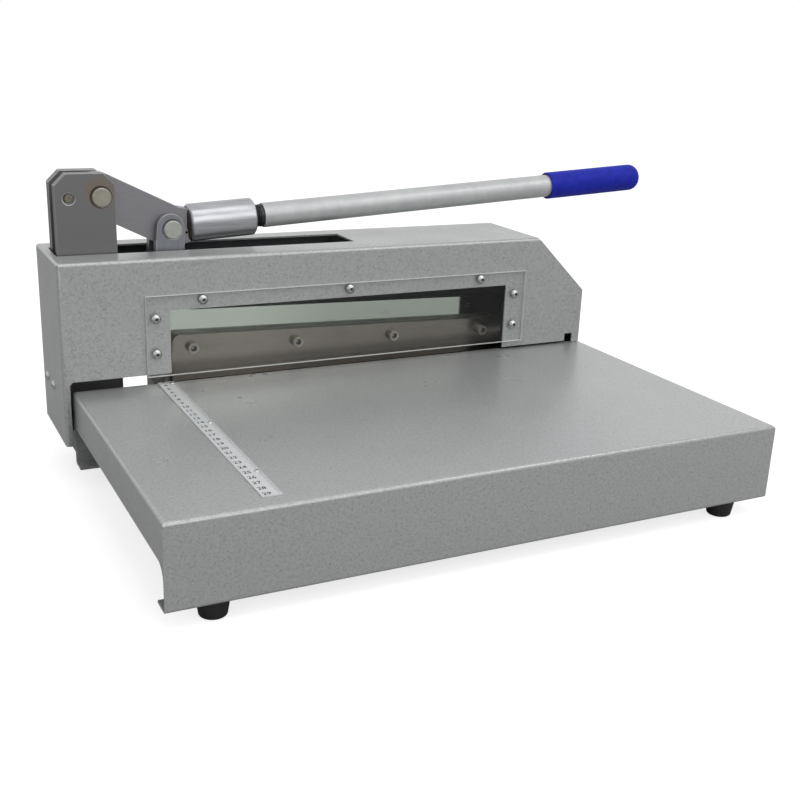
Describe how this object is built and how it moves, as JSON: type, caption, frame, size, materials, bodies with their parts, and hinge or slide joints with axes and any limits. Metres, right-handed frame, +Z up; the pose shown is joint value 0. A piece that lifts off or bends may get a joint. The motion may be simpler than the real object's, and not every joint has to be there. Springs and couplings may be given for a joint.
{
  "type": "guillotine cutter",
  "caption": "Bench guillotine cutter with a folded metal bed, clear guard over the blades and a side lever that swings the upper blade through links.",
  "frame": {"origin": "on the floor under the middle of the whole object's box, with the lever down", "axes": "+X along the blades towards the handle's grip, +Y back from the operator, +Z up"},
  "size_m": [0.6106, 0.3698, 0.2538],
  "materials": {
    "hammered_paint": "pale grey hammered paint on folded sheet steel",
    "grey_paint": "grey paint on thick plate",
    "turned_steel": "turned and polished steel",
    "rule_metal": "anodised strip with dark graduations",
    "plated_screw": "bright plated steel",
    "black_screw": "blackened steel",
    "foot_rubber": "black moulded rubber",
    "blade_steel": "satin ground tool steel",
    "ground_steel": "fine ground, oiled steel",
    "clear_guard": "clear acrylic sheet",
    "yellow_zinc": "yellowish zinc plating",
    "bronze": "plain bearing bronze",
    "black_plastic": "black moulded collar",
    "tube_paint": "silver-grey paint on a steel tube",
    "blue_grip": "blue dipped vinyl"
  },
  "bodies": {
    "frame": {"bed": "hammered_paint", "scale_rule": "rule_metal", "rule_screws": "plated_screw", "front_left_foot": "foot_rubber", "front_right_foot": "foot_rubber", "rear_left_foot": "foot_rubber", "rear_right_foot": "foot_rubber", "foot_screws": "plated_screw", "base_beam": "grey_paint", "bed_bolts": "black_screw", "lower_blade": "blade_steel", "lower_blade_screws": "black_screw", "front_cheek": "grey_paint", "rear_cheek": "grey_paint", "cheek_block": "grey_paint", "cheek_spacer": "plated_screw", "spacer_bolt": "yellow_zinc", "front_bracket": "grey_paint", "rear_bracket": "grey_paint", "bracket_block": "grey_paint", "tie_bar": "grey_paint", "frame_bolts": "black_screw", "left_mount_bar": "grey_paint", "right_mount_bar": "grey_paint", "housing": "hammered_paint", "housing_screws": "plated_screw", "guard": "clear_guard", "guard_screws": "plated_screw", "main_pin": "yellow_zinc", "main_pin_ring": "black_screw", "beam_pin": "yellow_zinc", "beam_pin_ring": "black_screw"},
    "lever": {"lever_plate": "grey_paint", "lever_bush": "bronze", "socket": "turned_steel", "handle_stud": "black_plastic", "handle_tube": "tube_paint", "grip": "blue_grip", "link_pin": "yellow_zinc", "link_pin_ring": "black_screw"},
    "links": {"front_link": "grey_paint", "rear_link": "grey_paint"},
    "beam": {"blade_beam": "ground_steel", "beam_bush": "bronze", "upper_blade": "blade_steel", "blade_screws": "plated_screw", "low_link_pin": "yellow_zinc", "low_pin_rings": "black_screw"}
  },
  "joints": [
    {"name": "lever_swing", "type": "hinge", "parent": "frame", "child": "lever", "pos_m": [-0.25706, 0.1416, 0.234], "axis": [0, -1, 0], "range_deg": [0, 40]},
    {"name": "link_swing", "type": "hinge", "parent": "lever", "child": "links", "pos_m": [-0.19737, 0.1416, 0.20424], "axis": [0, -1, 0], "range_deg": [-39.6, 0]},
    {"name": "blade_swing", "type": "hinge", "parent": "frame", "child": "beam", "pos_m": [0.18144, 0.1416, 0.098], "axis": [0, 1, 0], "range_deg": [0, 6.78]}
  ],
  "couplings": [
    {"joint": "link_swing", "follows": "lever_swing", "ratio": -0.99},
    {"joint": "blade_swing", "follows": "lever_swing", "ratio": 0.1695}
  ]
}
